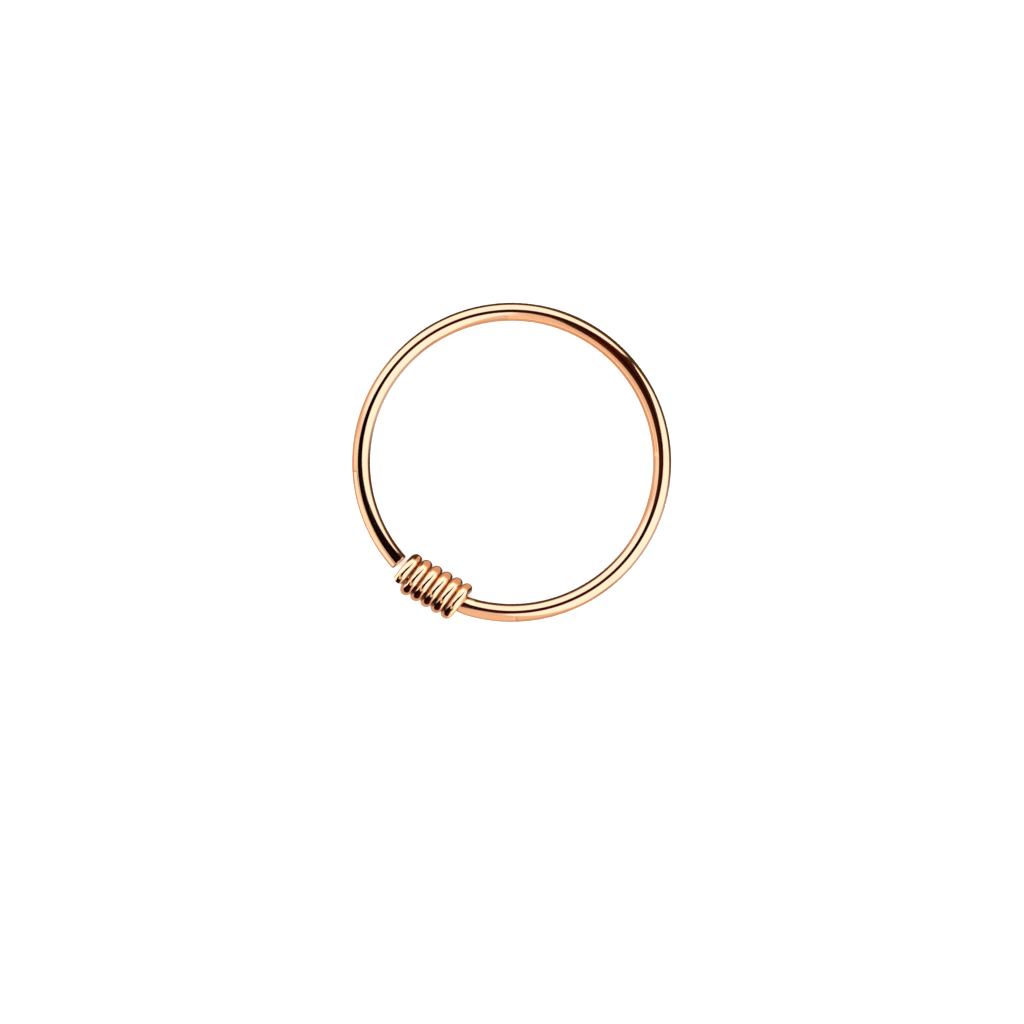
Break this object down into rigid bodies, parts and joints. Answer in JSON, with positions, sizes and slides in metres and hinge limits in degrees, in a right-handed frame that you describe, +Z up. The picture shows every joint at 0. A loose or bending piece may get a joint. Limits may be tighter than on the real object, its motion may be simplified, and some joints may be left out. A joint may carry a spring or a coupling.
{
  "type": "nose ring",
  "caption": "Thin wire hoop for a pierced nostril, with a square-cut free end beside a close coil of finer wire wound round its other end.",
  "frame": {"origin": "middle of the bounding box's foot, under the hoop's centre, on the surface that the ring lies on", "axes": "+Z up from that surface, within 2.4 degrees of square to the lying hoop; +X and +Y are right and up in the view from above"},
  "size_m": [0.0112, 0.0112, 0.0015],
  "materials": {
    "rose_gold": "mirror-polished rose gold plate"
  },
  "bodies": {
    "root": {"hoop": "rose_gold", "coil_wrap": "rose_gold"}
  },
  "joints": []
}
